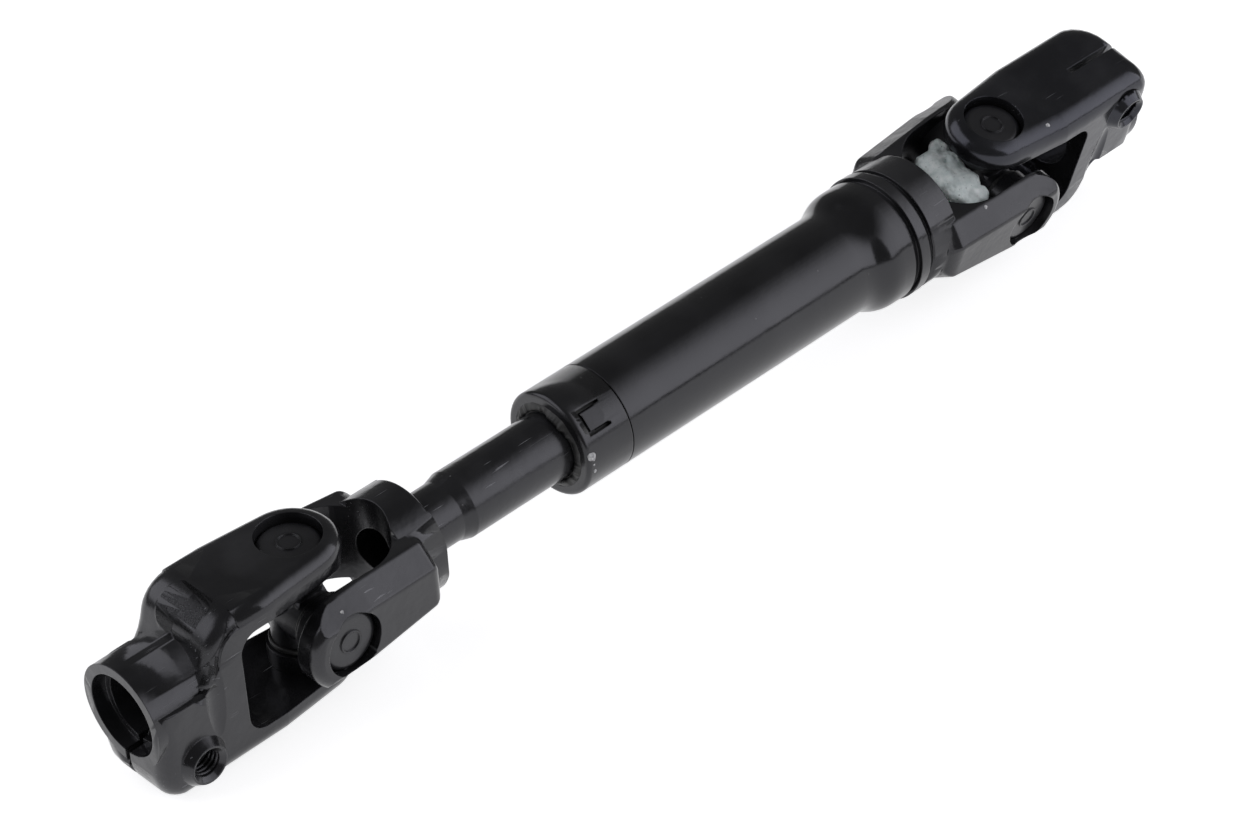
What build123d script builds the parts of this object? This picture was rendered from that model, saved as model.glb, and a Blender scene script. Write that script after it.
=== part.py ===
"""Collapsible steering shaft with a universal joint at each end.

The shaft lies along X with its lower clamp at -X. Z is up, and the two joints
sit one cross spacing apart. The origin is on the floor below mid length.
All lengths are in millimetres and all angles in degrees.
"""
import os
from math import cos, pi, radians, sin

from build123d import *

# Layout and motion of the whole shaft
cross_spacing = 236.0
phase_angle = 17.0
swing_limit = 30.0
swing_gap = 3.2
shorten_travel = 22.0
lengthen_travel = 18.0
stop_gap = 9.2
spline_engagement = 14.5
tip_gap = 1.0

# Bearing cups, needles, seals and crosses
cup_diameter = 16.0
cup_wall = 1.2
cup_floor = 1.4
cup_length = 9.5
cup_corner = 1.9
cup_face_distance = 18.8
cup_recess = 2.1
dimple_radius = 2.5
dimple_width = 0.5
dimple_height = 0.35
needle_diameter = 1.9
needle_length = 6.6
needle_gap = 0.08
needle_sides = 6
running_clearance = 0.03
end_clearance = 0.1
hub_radius = 6.6
hub_waist_radius = 8.2
hub_waist_height = 4.4
trunnion_chamfer = 0.7
seal_width = 1.4
seal_gap = 0.06
seal_radius = 7.3
seal_edge = 0.45

# Ears, shared by all four yokes
ear_radius = 12.0

# Clamp yokes, a pair of the same forging
mouth_distance = 51.2
clamp_radius = 13.2
block_half_width = 13.6
clamp_flank_start = 16.0
arm_edge = 3.7
lug_edge = 5.0
clamp_bore_radius = 9.0
clamp_entry_radius = 10.6
clamp_entry_depth = 4.0
window_gap = 2.2
window_extra = 2.5
window_corner = 5.0
wall_start = 27.0
wall_foot = 40.0
wall_height = 5.2
wall_bend = 4.0
shoulder_root = 14.0
shoulder_reach = 35.2
shoulder_half_width = 11.6
shoulder_corner = 9.0
shoulder_edge = 7.0
trough_station = 35.0
trough_height = 3.0
trough_radius = 5.0
trough_depth = 0.7
trough_swing = 86.0
lug_corner = 5.4
slit_width = 1.6
slit_length = 21.0
bolt_setback = 10.6
bolt_drop = 12.2
bolt_thread_radius = 3.4
bolt_clearance_radius = 4.25
bolt_sink_radius = 4.5
bolt_sink_angle = 90.0
boss_height = 2.4
boss_base_radius = 6.4
boss_face_radius = 4.9

# Fork yokes on the shaft and on the tube
slot_gap = 0.8
slot_extra = 1.5
bevel = 5.2
arm_taper = 1.5
base_rim = 2.4
shaft_base_length = 34.3
shaft_base_radius = 14.8
shaft_base_run = 11.0
shaft_base_edge = 0.9
neck_length = 14.7
neck_drop = 1.0
neck_run = 3.4
web_bore_radius = 6.5
web_bore_depth = 6.0
tube_base_length = 35.0
tube_base_radius = 17.1
tube_base_run = 9.0

# Slip shaft and its sleeve
shaft_radius = 8.9
spline_count = 16
spline_depth = 0.9
spline_width = 1.75
spline_clearance = 0.06
shaft_chamfer = 1.0
sleeve_length = 24.0
sleeve_wall = 2.1

# Outer tube, its end cap and the ring that closes it
tube_wall = 3.0
flare_rise = 2.8
flare_length = 11.0
flare_margin = 1.0
ring_step = 0.5
ring_width = 3.2
groove_depth = 1.3
groove_width = 1.85
spigot_length = 3.0
spigot_wall = 3.2
cap_length = 15.3
cap_wall = 1.6
cap_lip = 2.8
cap_lip_thickness = 1.4
cap_edge = 1.2
lip_seal_length = 9.0
lip_seal_nose = 1.6
lip_clearance = 0.08
tab_length = 7.0
tab_width = 6.9
tab_setback = 3.0
tab_cut = 0.7
tab_angle = 45.0

# Grease on the upper cross
grease_reach = 19.4
grease_start = 8.6
grease_half_width = 11.3
grease_shift = 1.5
grease_bottom = -4.0
grease_belly = 2.0
grease_crown = 8.0
grease_top = 11.0
grease_root = 4.0
grease_gap = 0.05

# Sizes that follow from the ones above
swing = radians(swing_limit)
lean = radians(phase_angle)
cup_radius = cup_diameter / 2
ear_reach = cup_face_distance + cup_recess
swing_reach = ear_radius * cos(swing) + ear_reach * sin(swing)
fork_depth = swing_reach + swing_gap
window_half_height = ear_radius + window_gap
window_depth = fork_depth + window_extra
slot_half_width = block_half_width + slot_gap
slot_depth = fork_depth + slot_extra
cup_mouth = cup_face_distance - cup_length
race_radius = cup_radius - cup_wall
needle_radius = needle_diameter / 2
needle_orbit = race_radius - running_clearance - needle_radius
needle_count = int(2 * pi * needle_orbit / (needle_diameter + needle_gap))
trunnion_radius = needle_orbit - needle_radius - running_clearance
trunnion_reach = cup_face_distance - cup_floor - end_clearance
needle_start = trunnion_reach - needle_length
hub_shoulder = cup_mouth - seal_width - 2 * seal_gap
spline_root = shaft_radius - spline_depth
neck_radius = shaft_radius - neck_drop
tube_bore = shaft_radius + sleeve_wall
tube_radius = tube_bore + tube_wall
flare_radius = tube_radius + flare_rise
ring_radius = flare_radius + ring_step
groove_radius = ring_radius - groove_depth
spigot_radius = flare_radius - tube_wall
flare_straight = spigot_length + flare_margin

# Stations along +X, measured from the lower cross
neck_end = shaft_base_length + neck_length
cap_front = neck_end + shorten_travel + stop_gap
seal_end = cap_front + cap_lip_thickness + lip_seal_length
tube_start = cap_front + cap_length
plain_shaft_end = seal_end + lengthen_travel + tip_gap
sleeve_start = plain_shaft_end + shorten_travel + tip_gap
shaft_end = sleeve_start + lengthen_travel + spline_engagement
ring_zone = 2 * groove_width + ring_width
tube_end = cross_spacing - tube_base_length - ring_zone
flare_end = tube_end - flare_straight
flare_start = flare_end - flare_length

# The lowest point is the rounded lower corner of the upper clamp's arm
corner_drop = (block_half_width - arm_edge) * sin(lean) + (ear_reach - arm_edge) * cos(lean)
axis_height = corner_drop + arm_edge

# Places of the two joints, and of the pieces around each of them
lower_joint = Location((-cross_spacing / 2, 0, axis_height))
upper_joint = Location((cross_spacing / 2, 0, axis_height), (phase_angle, 0, 0))
lower_clamp_seat = lower_joint * Location((0, 0, 0), (0, 0, 180))
upper_clamp_seat = upper_joint * Location((0, 0, 0), (180, 0, 0))
tube_yoke_seat = upper_joint * Location((0, 0, 0), (0, 0, 180))
trunnion_turns = {"top": 0, "bottom": 180, "front": 90, "back": -90}


def save(piece, name, seat):
    """Move a finished piece to its seat, label it and write it."""
    placed = piece.moved(seat)
    placed.label = name
    export_step(placed, f"parts/{name}.step")


def round_corners(sketch, corners):
    """Round the corners of an open sketch, each given as its place and radius."""
    for place, radius in corners:
        fillet(sketch.vertices().sort_by_distance(place)[0], radius)


def rounded_shoulder():
    """Shoulder over the clamp bore, rounded in plan and along its top."""
    length = shoulder_reach - shoulder_root
    with BuildPart() as shoulder:
        with BuildSketch() as plan:
            with Locations((shoulder_root + length / 2, 0)):
                Rectangle(length, 2 * shoulder_half_width)
            fillet(plan.vertices().group_by(Axis.X)[-1], shoulder_corner)
        extrude(amount=ear_reach)
        rim = shoulder.faces().sort_by(Axis.Z)[-1].edges()
        fillet(rim.filter_by(lambda edge: edge.center().X > shoulder_root), shoulder_edge)
    return shoulder.part


def clamp_yoke():
    """Clamp yoke with ears at +Z and -Z, its mouth towards +X and its lugs below."""
    bolt_station = mouth_distance - bolt_setback
    blank_length = mouth_distance + lug_corner
    lug_side = (bolt_station, 0, -bolt_drop)
    with BuildPart() as yoke:
        # The blank seen from above, with round ears and long rounded edges
        with BuildSketch():
            Circle(ear_radius)
            with Locations(((clamp_flank_start + blank_length) / 2, 0)):
                Rectangle(blank_length - clamp_flank_start, 2 * block_half_width)
            make_hull()
        extrude(amount=ear_reach, both=True)
        for flat_end, edge_radius in ((-1, arm_edge), (0, lug_edge)):
            rims = yoke.faces().sort_by(Axis.Z)[flat_end].edges()
            fillet(rims.filter_by(lambda edge: edge.center().X < mouth_distance), edge_radius)

        # The side view cuts down the walls beside the clamp and rounds the lugs
        with BuildSketch(Plane.XZ) as side_view:
            with BuildLine():
                Polyline(
                    (-ear_radius, ear_reach),
                    (wall_start, ear_reach),
                    (wall_foot, wall_height),
                    (mouth_distance, wall_height),
                    (mouth_distance, -ear_reach),
                    (-ear_radius, -ear_reach),
                    close=True,
                )
            make_face()
            round_corners(
                side_view,
                (
                    ((wall_start, ear_reach), wall_bend),
                    ((wall_foot, wall_height), wall_bend),
                    ((mouth_distance, -ear_reach), lug_corner),
                ),
            )
        extrude(amount=block_half_width, both=True, mode=Mode.INTERSECT)

        # The shoulder, and the round collar over the bore
        add(rounded_shoulder())
        with BuildSketch(Plane.YZ.offset(window_depth)):
            Circle(clamp_radius)
        extrude(amount=mouth_distance - window_depth)

        # A shallow trough in each side, between the window and the collar
        for side in (1, -1):
            with BuildSketch():
                with Locations((trough_station, side * (block_half_width + trough_radius - trough_depth))):
                    Circle(trough_radius)
            swing_centre = (0, side * (block_half_width + trough_swing), trough_height)
            revolve(axis=Axis(swing_centre, (1, 0, 0)), mode=Mode.SUBTRACT)

        # The window between the arms
        with BuildSketch(Plane.XZ):
            with Locations((-ear_radius, 0)):
                RectangleRounded(
                    2 * (window_depth + ear_radius), 2 * window_half_height, window_corner
                )
        extrude(amount=block_half_width, both=True, mode=Mode.SUBTRACT)

        # The flared boss of the threaded lug
        boss_seat = Plane(origin=lug_side, z_dir=(0, 1, 0)).offset(block_half_width)
        with BuildSketch(boss_seat):
            Circle(boss_base_radius)
        with BuildSketch(boss_seat.offset(boss_height)):
            Circle(boss_face_radius)
        loft()

        # The clamp bore, its wider mouth and the slit that lets it close
        with Locations(Plane.YZ.offset(mouth_distance)):
            CounterBoreHole(
                radius=clamp_bore_radius,
                counter_bore_radius=clamp_entry_radius,
                counter_bore_depth=clamp_entry_depth,
                depth=mouth_distance,
            )
        with BuildSketch():
            with Locations((mouth_distance, 0)):
                Rectangle(2 * slit_length, slit_width)
        extrude(amount=-ear_reach, mode=Mode.SUBTRACT)

        # The pinch bolt's thread in the boss and its clearance hole in the other lug
        with Locations(boss_seat.offset(boss_height)):
            CounterSinkHole(
                radius=bolt_thread_radius,
                counter_sink_radius=bolt_sink_radius,
                depth=block_half_width + boss_height,
                counter_sink_angle=bolt_sink_angle,
            )
        with Locations(Plane(origin=lug_side, z_dir=(0, -1, 0)).offset(block_half_width)):
            Hole(radius=bolt_clearance_radius, depth=block_half_width)

        # The bores that hold the bearing cups
        Hole(radius=cup_radius)
    return yoke.part


def fork(base_length, base_radius, base_run):
    """Fork with ears at +Y and -Y, an open U slot and a round base towards +X."""
    with BuildPart() as form:
        # The bevelled section of the arms
        with BuildSketch(Plane.YZ.offset(-ear_radius)) as section:
            Rectangle(2 * ear_reach, 2 * ear_radius)
            chamfer(section.vertices(), bevel)
        extrude(amount=ear_radius + base_length)

        # The ears' round ends, and the arms that draw in towards the base
        with BuildSketch(Plane.XZ):
            Circle(ear_radius)
            with Locations((base_length / 2, 0)):
                Rectangle(base_length, 2 * ear_radius)
        extrude(amount=ear_reach, both=True, mode=Mode.INTERSECT)
        with BuildSketch():
            with BuildLine():
                Polyline(
                    (-ear_radius, ear_reach),
                    (0, ear_reach),
                    (base_length - base_run, ear_reach - arm_taper),
                    (base_length - base_rim, base_radius),
                    (base_length, base_radius),
                    (base_length, 0),
                )
                mirror(about=Plane.XZ)
                Line((-ear_radius, ear_reach), (-ear_radius, -ear_reach))
            make_face()
        extrude(amount=ear_radius, both=True, mode=Mode.INTERSECT)
        with BuildSketch(Plane.YZ.offset(base_length)):
            Circle(base_radius)
        extrude(amount=-base_run)

        # The slot for the cross and the bores for the bearing cups
        with BuildSketch():
            with Locations((slot_depth - slot_half_width, 0)):
                Circle(slot_half_width)
            with Locations((slot_depth - slot_half_width - base_length, 0)):
                Rectangle(2 * base_length, 2 * slot_half_width)
        extrude(amount=base_radius, both=True, mode=Mode.SUBTRACT)
        with Locations(Plane.XZ):
            Hole(radius=cup_radius)
    return form.part


def draw_splines(clearance):
    """Draw a root circle with parallel-sided teeth, all grown by the clearance."""
    Circle(spline_root + clearance)
    with PolarLocations(shaft_radius / 2, spline_count):
        Rectangle(shaft_radius, spline_width + 2 * clearance)
    Circle(shaft_radius + clearance, mode=Mode.INTERSECT)


def slip_shaft_yoke():
    """Fork forged in one with the slip shaft, whose end is splined."""
    with BuildPart() as yoke:
        add(fork(shaft_base_length, shaft_base_radius, shaft_base_run))
        fillet(yoke.faces().sort_by(Axis.X)[-1].edges(), shaft_base_edge)

        # Neck and plain shaft, turned about X
        with BuildSketch(Plane.XZ):
            with BuildLine():
                Polyline(
                    (shaft_base_length, neck_radius),
                    (shaft_base_length, 0),
                    (plain_shaft_end, 0),
                    (plain_shaft_end, shaft_radius),
                    (neck_end, shaft_radius),
                    (neck_end - neck_run, neck_radius),
                    close=True,
                )
            make_face()
        revolve(axis=Axis.X)

        # Splines and the bevel at the tip
        with BuildSketch(Plane.YZ.offset(plain_shaft_end)):
            draw_splines(0)
        extrude(amount=shaft_end - plain_shaft_end)
        with BuildSketch(Plane.XZ):
            with BuildLine():
                Polyline(
                    (shaft_end, shaft_radius + shaft_chamfer),
                    (shaft_end, shaft_radius - 2 * shaft_chamfer),
                    (shaft_end - 3 * shaft_chamfer, shaft_radius + shaft_chamfer),
                    close=True,
                )
            make_face()
        revolve(axis=Axis.X, mode=Mode.SUBTRACT)

        # Blind bore in the slot's bottom
        with Locations(Plane.YZ.offset(slot_depth)):
            Hole(radius=web_bore_radius, depth=slot_depth)
        with Locations(Plane.YZ.offset(slot_depth + web_bore_depth)):
            Hole(radius=web_bore_radius, depth=slot_depth)
    return yoke.part


def tube_yoke():
    """Fork with a grooved ring and a hollow spigot for the flared tube."""
    hollow_start = slot_depth + web_bore_depth
    spigot_end = tube_base_length + ring_zone + spigot_length
    with BuildPart() as yoke:
        add(fork(tube_base_length, tube_base_radius, tube_base_run))
        with BuildSketch(Plane.YZ.offset(tube_base_length)):
            Circle(groove_radius)
        extrude(amount=ring_zone)
        with BuildSketch(Plane.YZ.offset(tube_base_length + groove_width)):
            Circle(ring_radius)
        extrude(amount=ring_width)
        with BuildSketch(Plane.YZ.offset(tube_base_length + ring_zone)):
            Circle(spigot_radius)
        extrude(amount=spigot_length)
        with Locations(Plane.YZ.offset(spigot_end)):
            CounterBoreHole(
                radius=web_bore_radius,
                counter_bore_radius=spigot_radius - spigot_wall,
                counter_bore_depth=spigot_end - hollow_start,
                depth=spigot_end,
            )
    return yoke.part


def cross():
    """Cross with a trunnion along +Y, -Y, +Z and -Z."""
    with BuildPart() as spider:
        with BuildSketch(Plane.YZ):
            Circle(hub_waist_radius)
        extrude(amount=hub_waist_height, both=True)
        for turn in trunnion_turns.values():
            seat = Plane.XY.rotated((turn, 0, 0))
            with BuildSketch(seat):
                Circle(hub_radius)
            extrude(amount=hub_shoulder)
            with BuildSketch(seat.offset(hub_shoulder)):
                Circle(trunnion_radius)
            extrude(amount=trunnion_reach - hub_shoulder)
            tip = spider.edges().filter_by(GeomType.CIRCLE).filter_by(
                lambda edge: abs((edge.arc_center - seat.origin).dot(seat.z_dir) - trunnion_reach) < 0.001
            )
            chamfer(tip, trunnion_chamfer)
    return spider.part


def bearing_cup():
    """Drawn cup with its closed end up, rounded at the rim and ringed by a stamped bead."""
    bead_end = dimple_radius + dimple_width
    with BuildPart() as cup:
        with BuildSketch(Plane.XZ) as profile:
            with BuildLine():
                Polyline(
                    (0, cup_face_distance - cup_floor),
                    (race_radius, cup_face_distance - cup_floor),
                    (race_radius, cup_mouth),
                    (cup_radius, cup_mouth),
                    (cup_radius, cup_face_distance),
                    (0, cup_face_distance),
                    close=True,
                )
            make_face()
            round_corners(profile, (((cup_radius, cup_face_distance), cup_corner),))
        revolve(axis=Axis.Z)
        with BuildSketch(Plane.XY.offset(cup_face_distance)):
            Circle(bead_end)
            Circle(dimple_radius, mode=Mode.SUBTRACT)
        extrude(amount=dimple_height)
    return cup.part


def needle_set():
    """Full ring of needles between a cup and its trunnion."""
    with BuildPart() as needles:
        with BuildSketch(Plane.XY.offset(needle_start)):
            with PolarLocations(needle_orbit, needle_count):
                RegularPolygon(needle_radius, needle_sides)
        extrude(amount=needle_length)
    return needles.part


def trunnion_seal():
    """Rubber ring between the cross's shoulder and the cup's open end."""
    with BuildPart() as seal:
        with BuildSketch(Plane.XY.offset(hub_shoulder + seal_gap)):
            Circle(seal_radius)
            Circle(trunnion_radius, mode=Mode.SUBTRACT)
        extrude(amount=seal_width)
        outer_rims = seal.edges().filter_by(GeomType.CIRCLE).sort_by(SortBy.RADIUS)[-2:]
        fillet(outer_rims, seal_edge)
    return seal.part


def outer_tube():
    """Tube from the cap's seam to its flared end."""
    mid_flare = (flare_start + flare_end) / 2
    with BuildPart() as tube:
        with BuildSketch(Plane.XZ):
            with BuildLine():
                Bezier(
                    (flare_start, tube_radius),
                    (mid_flare, tube_radius),
                    (mid_flare, flare_radius),
                    (flare_end, flare_radius),
                )
                Polyline(
                    (flare_end, flare_radius),
                    (tube_end, flare_radius),
                    (tube_end, spigot_radius),
                    (flare_end, spigot_radius),
                )
                Bezier(
                    (flare_end, spigot_radius),
                    (mid_flare, spigot_radius),
                    (mid_flare, tube_bore),
                    (flare_start, tube_bore),
                )
                Polyline(
                    (flare_start, tube_bore),
                    (tube_start, tube_bore),
                    (tube_start, tube_radius),
                    (flare_start, tube_radius),
                )
            make_face()
        revolve(axis=Axis.X)
    return tube.part


def end_cap():
    """Sheet cap with a rolled lip and a tab lanced through its wall."""
    cap_bore = tube_radius - cap_wall
    tab_centre = cap_front + tab_setback + tab_length / 2
    with BuildPart() as cap:
        with BuildSketch(Plane.XZ) as profile:
            with BuildLine():
                Polyline(
                    (cap_front, tube_radius - cap_lip),
                    (cap_front, tube_radius),
                    (tube_start, tube_radius),
                    (tube_start, cap_bore),
                    (cap_front + cap_lip_thickness, cap_bore),
                    (cap_front + cap_lip_thickness, tube_radius - cap_lip),
                    close=True,
                )
            make_face()
            round_corners(profile, (((cap_front, tube_radius), cap_edge),))
        revolve(axis=Axis.X)

        # The U-shaped cut leaves the tab held at its +X end
        tab_seat = Plane(origin=(tab_centre, 0, 0)).rotated((tab_angle, 0, 0))
        with BuildSketch(tab_seat):
            Rectangle(tab_length, tab_width)
            with Locations((tab_cut, 0)):
                Rectangle(tab_length, tab_width - 2 * tab_cut, mode=Mode.SUBTRACT)
        extrude(amount=tube_radius, mode=Mode.SUBTRACT)
    return cap.part


def lip_seal():
    """Rubber seal in the cap, with a tapered nose round the shaft."""
    seal_bore = shaft_radius + lip_clearance
    seal_start = cap_front + cap_lip_thickness
    with BuildPart() as seal:
        with BuildSketch(Plane.XZ):
            with BuildLine():
                Polyline(
                    (seal_start, tube_radius - cap_wall),
                    (seal_end, tube_radius - cap_wall),
                    (seal_end, seal_bore),
                    (cap_front, seal_bore),
                    (cap_front, seal_bore + lip_seal_nose / 2),
                    (seal_start, seal_bore + lip_seal_nose),
                    close=True,
                )
            make_face()
        revolve(axis=Axis.X)
    return seal.part


def spline_sleeve():
    """Splined bush pressed into the tube, in which the slip shaft slides."""
    with BuildPart() as sleeve:
        with BuildSketch(Plane.YZ.offset(sleeve_start)):
            Circle(tube_bore)
        extrude(amount=sleeve_length)
        with BuildSketch(Plane.YZ.offset(sleeve_start)):
            draw_splines(spline_clearance)
        extrude(amount=sleeve_length, mode=Mode.SUBTRACT)
    return sleeve.part


def grease():
    """Lump of grease on the inboard side of a cross, below the clamp yoke's ear."""
    centre = -(grease_reach + grease_start) / 2
    root_face = -hub_radius - grease_gap
    shares = {grease_bottom: 0.5, grease_belly: 1.0, grease_crown: 0.85, grease_top: 0.4}
    with BuildPart() as lump:
        for height, share in shares.items():
            with BuildSketch(Plane.XY.offset(height)):
                with Locations((centre, -grease_shift)):
                    Ellipse(share * (grease_reach - grease_start) / 2, share * grease_half_width)
        loft()
        with BuildSketch(Plane.YZ.offset(root_face)):
            Circle(grease_root)
        extrude(amount=centre - root_face)
    return lump.part


os.makedirs("parts", exist_ok=True)

clamp_form = clamp_yoke()
save(clamp_form, "lower_clamp_yoke", lower_clamp_seat)
save(clamp_form, "upper_clamp_yoke", upper_clamp_seat)
save(slip_shaft_yoke(), "slip_shaft_yoke", lower_joint)
save(tube_yoke(), "tube_yoke", tube_yoke_seat)

cross_form = cross()
cup_form = bearing_cup()
needle_form = needle_set()
seal_form = trunnion_seal()
for joint_name, joint in (("lower", lower_joint), ("upper", upper_joint)):
    save(cross_form, f"{joint_name}_cross", joint)
    for side, turn in trunnion_turns.items():
        trunnion_seat = joint * Location((0, 0, 0), (turn, 0, 0))
        save(cup_form, f"{joint_name}_cup_{side}", trunnion_seat)
        save(needle_form, f"{joint_name}_needles_{side}", trunnion_seat)
        save(seal_form, f"{joint_name}_seal_{side}", trunnion_seat)

save(outer_tube(), "outer_tube", lower_joint)
save(end_cap(), "end_cap", lower_joint)
save(lip_seal(), "lip_seal", lower_joint)
save(spline_sleeve(), "spline_sleeve", lower_joint)
save(grease(), "grease", upper_joint)
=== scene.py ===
# %% [markdown]
# # A steering shaft with two universal joints
# The object is a black, gloss painted steering shaft. It has a forged clamp yoke at each end,
# a cross with four bearing cups in each joint, and a slip shaft that slides in a splined tube.
# The rigid pieces come from the CAD model as solids. This lesson dresses them: it rounds the
# forgings, cuts the cap's tab, and adds the paint and its flaws, the thread in the bolt
# holes, the torn rubber lip, the grease, a few flecks of pale paint, and the light.

import math
import random
from math import cos, pi, radians, sin

import bmesh
import bpy
from mathutils import Matrix, Vector, noise
from mathutils.bvhtree import BVHTree
from mathutils.geometry import barycentric_transform


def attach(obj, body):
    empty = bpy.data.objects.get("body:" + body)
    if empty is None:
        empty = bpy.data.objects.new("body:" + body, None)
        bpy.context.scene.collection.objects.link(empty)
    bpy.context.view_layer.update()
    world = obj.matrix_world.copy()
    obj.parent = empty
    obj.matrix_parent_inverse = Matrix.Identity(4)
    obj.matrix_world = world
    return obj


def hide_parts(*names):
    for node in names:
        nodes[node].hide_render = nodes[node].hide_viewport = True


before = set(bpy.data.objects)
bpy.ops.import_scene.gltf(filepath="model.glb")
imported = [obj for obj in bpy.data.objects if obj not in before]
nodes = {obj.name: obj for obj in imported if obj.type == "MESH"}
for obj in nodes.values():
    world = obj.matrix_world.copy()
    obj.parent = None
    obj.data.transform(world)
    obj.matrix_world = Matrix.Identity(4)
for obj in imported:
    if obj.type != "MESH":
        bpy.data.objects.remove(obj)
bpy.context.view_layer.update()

# %% [markdown]
# ## The camera
# The photograph looks down along the shaft from the lower clamp's side. A fit of the cups,
# the tube and the clamp mouth to the photograph gave the place of the camera, the point it
# aims at, a small roll and the lens. A camera that is aimed with a track quaternion has no
# roll, so the roll is turned on afterwards, about the camera's own view axis.

# %% Place the camera
MM = 0.001
CAMERA_PLACE = Vector((-511.5, -535.0, 580.85)) * MM
CAMERA_AIM = Vector((-17.3, -5.2, 22.75)) * MM
CAMERA_ROLL = radians(-2.94)
LENS_MM, SENSOR_MM = 108.67, 36.0

camera_data = bpy.data.cameras.new("camera")
camera_data.lens = LENS_MM
camera_data.sensor_width = SENSOR_MM
camera = bpy.data.objects.new("camera", camera_data)
bpy.context.scene.collection.objects.link(camera)
aim_turn = (CAMERA_AIM - CAMERA_PLACE).to_track_quat("-Z", "Y").to_matrix().to_4x4()
roll_turn = Matrix.Rotation(CAMERA_ROLL, 4, "Z")
camera.matrix_world = Matrix.Translation(CAMERA_PLACE) @ aim_turn @ roll_turn
bpy.context.scene.camera = camera
print("camera distance:", (CAMERA_AIM - CAMERA_PLACE).length)

# %% [markdown]
# ## Floor and light
# Gloss black paint has hardly any colour of its own, so what the eye sees is what it reflects.
# On the tube, the photograph shows from top to bottom a black band, a broad grey band with
# one soft edge, a thin black line and a paler band. Read as reflections, these are a dark
# room, a large softbox on the right, the gap below the softbox, and the white table. The
# studio here is built the same way: a dim room, two large softboxes and a pale floor.
#
# Every finish and the floor are node trees. Three small helpers start a tree, join two
# sockets and finish a shader, so that the cells below read as a list of what joins what.

# %% Helpers for node materials
bpy.context.scene.view_settings.view_transform = "Standard"


def new_material(name):
    """An empty node material: the material, its node tree and its output node."""
    material = bpy.data.materials.new(name)
    material.use_nodes = True
    material.node_tree.nodes.clear()
    output = material.node_tree.nodes.new("ShaderNodeOutputMaterial")
    return material, material.node_tree, output


def link(tree, source, target):
    """Join an output socket to an input socket."""
    tree.links.new(source, target)


def join_shader(tree, shader, output, colour, roughness, normal):
    """Give a shader its colour, roughness and normal, and join it to the output."""
    link(tree, colour, shader.inputs["Base Color"])
    link(tree, roughness, shader.inputs["Roughness"])
    link(tree, normal, shader.inputs["Normal"])
    link(tree, shader.outputs[0], output.inputs["Surface"])


print("view transform:", bpy.context.scene.view_settings.view_transform)

# %% [markdown]
# The floor is a plain white plane. For camera, mirror and glass rays it glows a little, so it
# reads as white without more light on the object, while the object's shadow stays on it.

# %% Floor
FLOOR_PAPER, FLOOR_GLOW, FLOOR_HALF = 0.86, 0.72, 4.0

floor_material, tree, output = new_material("floor_white")
paper = tree.nodes.new("ShaderNodeBsdfDiffuse")
paper.inputs["Color"].default_value = (FLOOR_PAPER, FLOOR_PAPER, FLOOR_PAPER, 1)
glow = tree.nodes.new("ShaderNodeEmission")
glow.inputs["Strength"].default_value = FLOOR_GLOW
no_glow = tree.nodes.new("ShaderNodeEmission")
no_glow.inputs["Strength"].default_value = 0
path = tree.nodes.new("ShaderNodeLightPath")
seen = tree.nodes.new("ShaderNodeMath")
seen.operation = "MAXIMUM"
seen_through = tree.nodes.new("ShaderNodeMath")
seen_through.operation = "MAXIMUM"
choice = tree.nodes.new("ShaderNodeMixShader")
both = tree.nodes.new("ShaderNodeAddShader")
link(tree, path.outputs["Is Camera Ray"], seen.inputs[0])
link(tree, path.outputs["Is Glossy Ray"], seen.inputs[1])
link(tree, seen.outputs[0], seen_through.inputs[0])
link(tree, path.outputs["Is Transmission Ray"], seen_through.inputs[1])
link(tree, seen_through.outputs[0], choice.inputs[0])
link(tree, no_glow.outputs[0], choice.inputs[1])
link(tree, glow.outputs[0], choice.inputs[2])
link(tree, paper.outputs[0], both.inputs[0])
link(tree, choice.outputs[0], both.inputs[1])
link(tree, both.outputs[0], output.inputs["Surface"])

floor_mesh = bpy.data.meshes.new("floor")
corners = [(-1, -1), (1, -1), (1, 1), (-1, 1)]
corners = [(FLOOR_HALF * x, FLOOR_HALF * y, 0) for x, y in corners]
floor_mesh.from_pydata(corners, [], [(0, 1, 2, 3)])
floor_mesh.materials.append(floor_material)
floor = bpy.data.objects.new("floor", floor_mesh)
bpy.context.scene.collection.objects.link(floor)
print("floor:", floor.dimensions.x, "by", floor.dimensions.y, "m")

# %% [markdown]
# The world is the room round the table. Its light is dim, which keeps the black paint black,
# and the camera alone sees it as a white backdrop.

# %% World
ROOM_LIGHT = 0.15

world = bpy.data.worlds.new("studio")
bpy.context.scene.world = world
world.use_nodes = True
tree = world.node_tree
room = tree.nodes["Background"]
room.inputs["Color"].default_value = (1, 1, 1, 1)
room.inputs["Strength"].default_value = ROOM_LIGHT
backdrop = tree.nodes.new("ShaderNodeBackground")
backdrop.inputs["Strength"].default_value = 1.0
path = tree.nodes.new("ShaderNodeLightPath")
choice = tree.nodes.new("ShaderNodeMixShader")
link(tree, path.outputs["Is Camera Ray"], choice.inputs[0])
link(tree, room.outputs[0], choice.inputs[1])
link(tree, backdrop.outputs[0], choice.inputs[2])
link(tree, choice.outputs[0], tree.nodes["World Output"].inputs["Surface"])
print("room light:", room.inputs["Strength"].default_value)

# %% [markdown]
# A softbox is an area lamp. How bright it looks in a reflection is its power divided by its
# area and by pi, so the helper takes that brightness and works out the power. In the
# photograph the grey band on the tube fades away at its upper edge. One lamp would give it a
# hard edge there, so the right softbox is a stack of strips that get dimmer upwards.

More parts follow.
